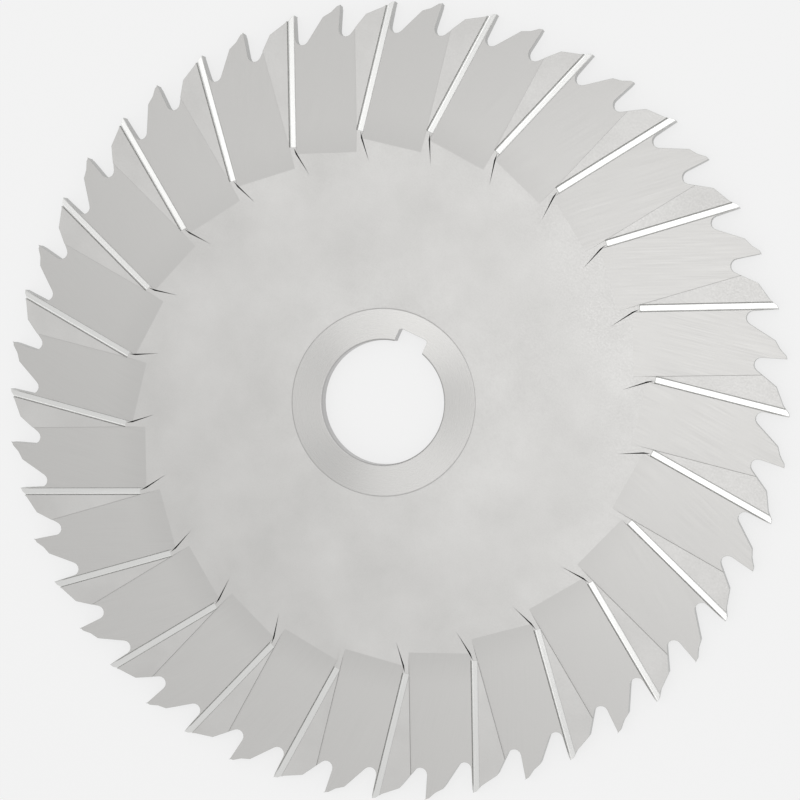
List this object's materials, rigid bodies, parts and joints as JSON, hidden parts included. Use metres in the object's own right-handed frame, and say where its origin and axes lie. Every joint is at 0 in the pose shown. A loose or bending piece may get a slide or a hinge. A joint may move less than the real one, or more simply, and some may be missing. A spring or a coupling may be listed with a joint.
{
  "type": "side milling cutter",
  "caption": "Thin disc-shaped side milling cutter with staggered side teeth, long side gashes, ground relief pads, raised hub faces and a keyed arbor bore.",
  "frame": {"origin": "on the arbor axis, midway between the two side faces", "axes": "+Z along the arbor axis, out of the side face whose even teeth cut; +Y towards the keyway"},
  "size_m": [0.2032, 0.2032, 0.004],
  "materials": {
    "ground_tool_steel": "fine ground high speed steel: matt sides, bright turned hub faces, polished gash floors"
  },
  "bodies": {
    "root": {"cutter_body": "ground_tool_steel"}
  },
  "joints": []
}
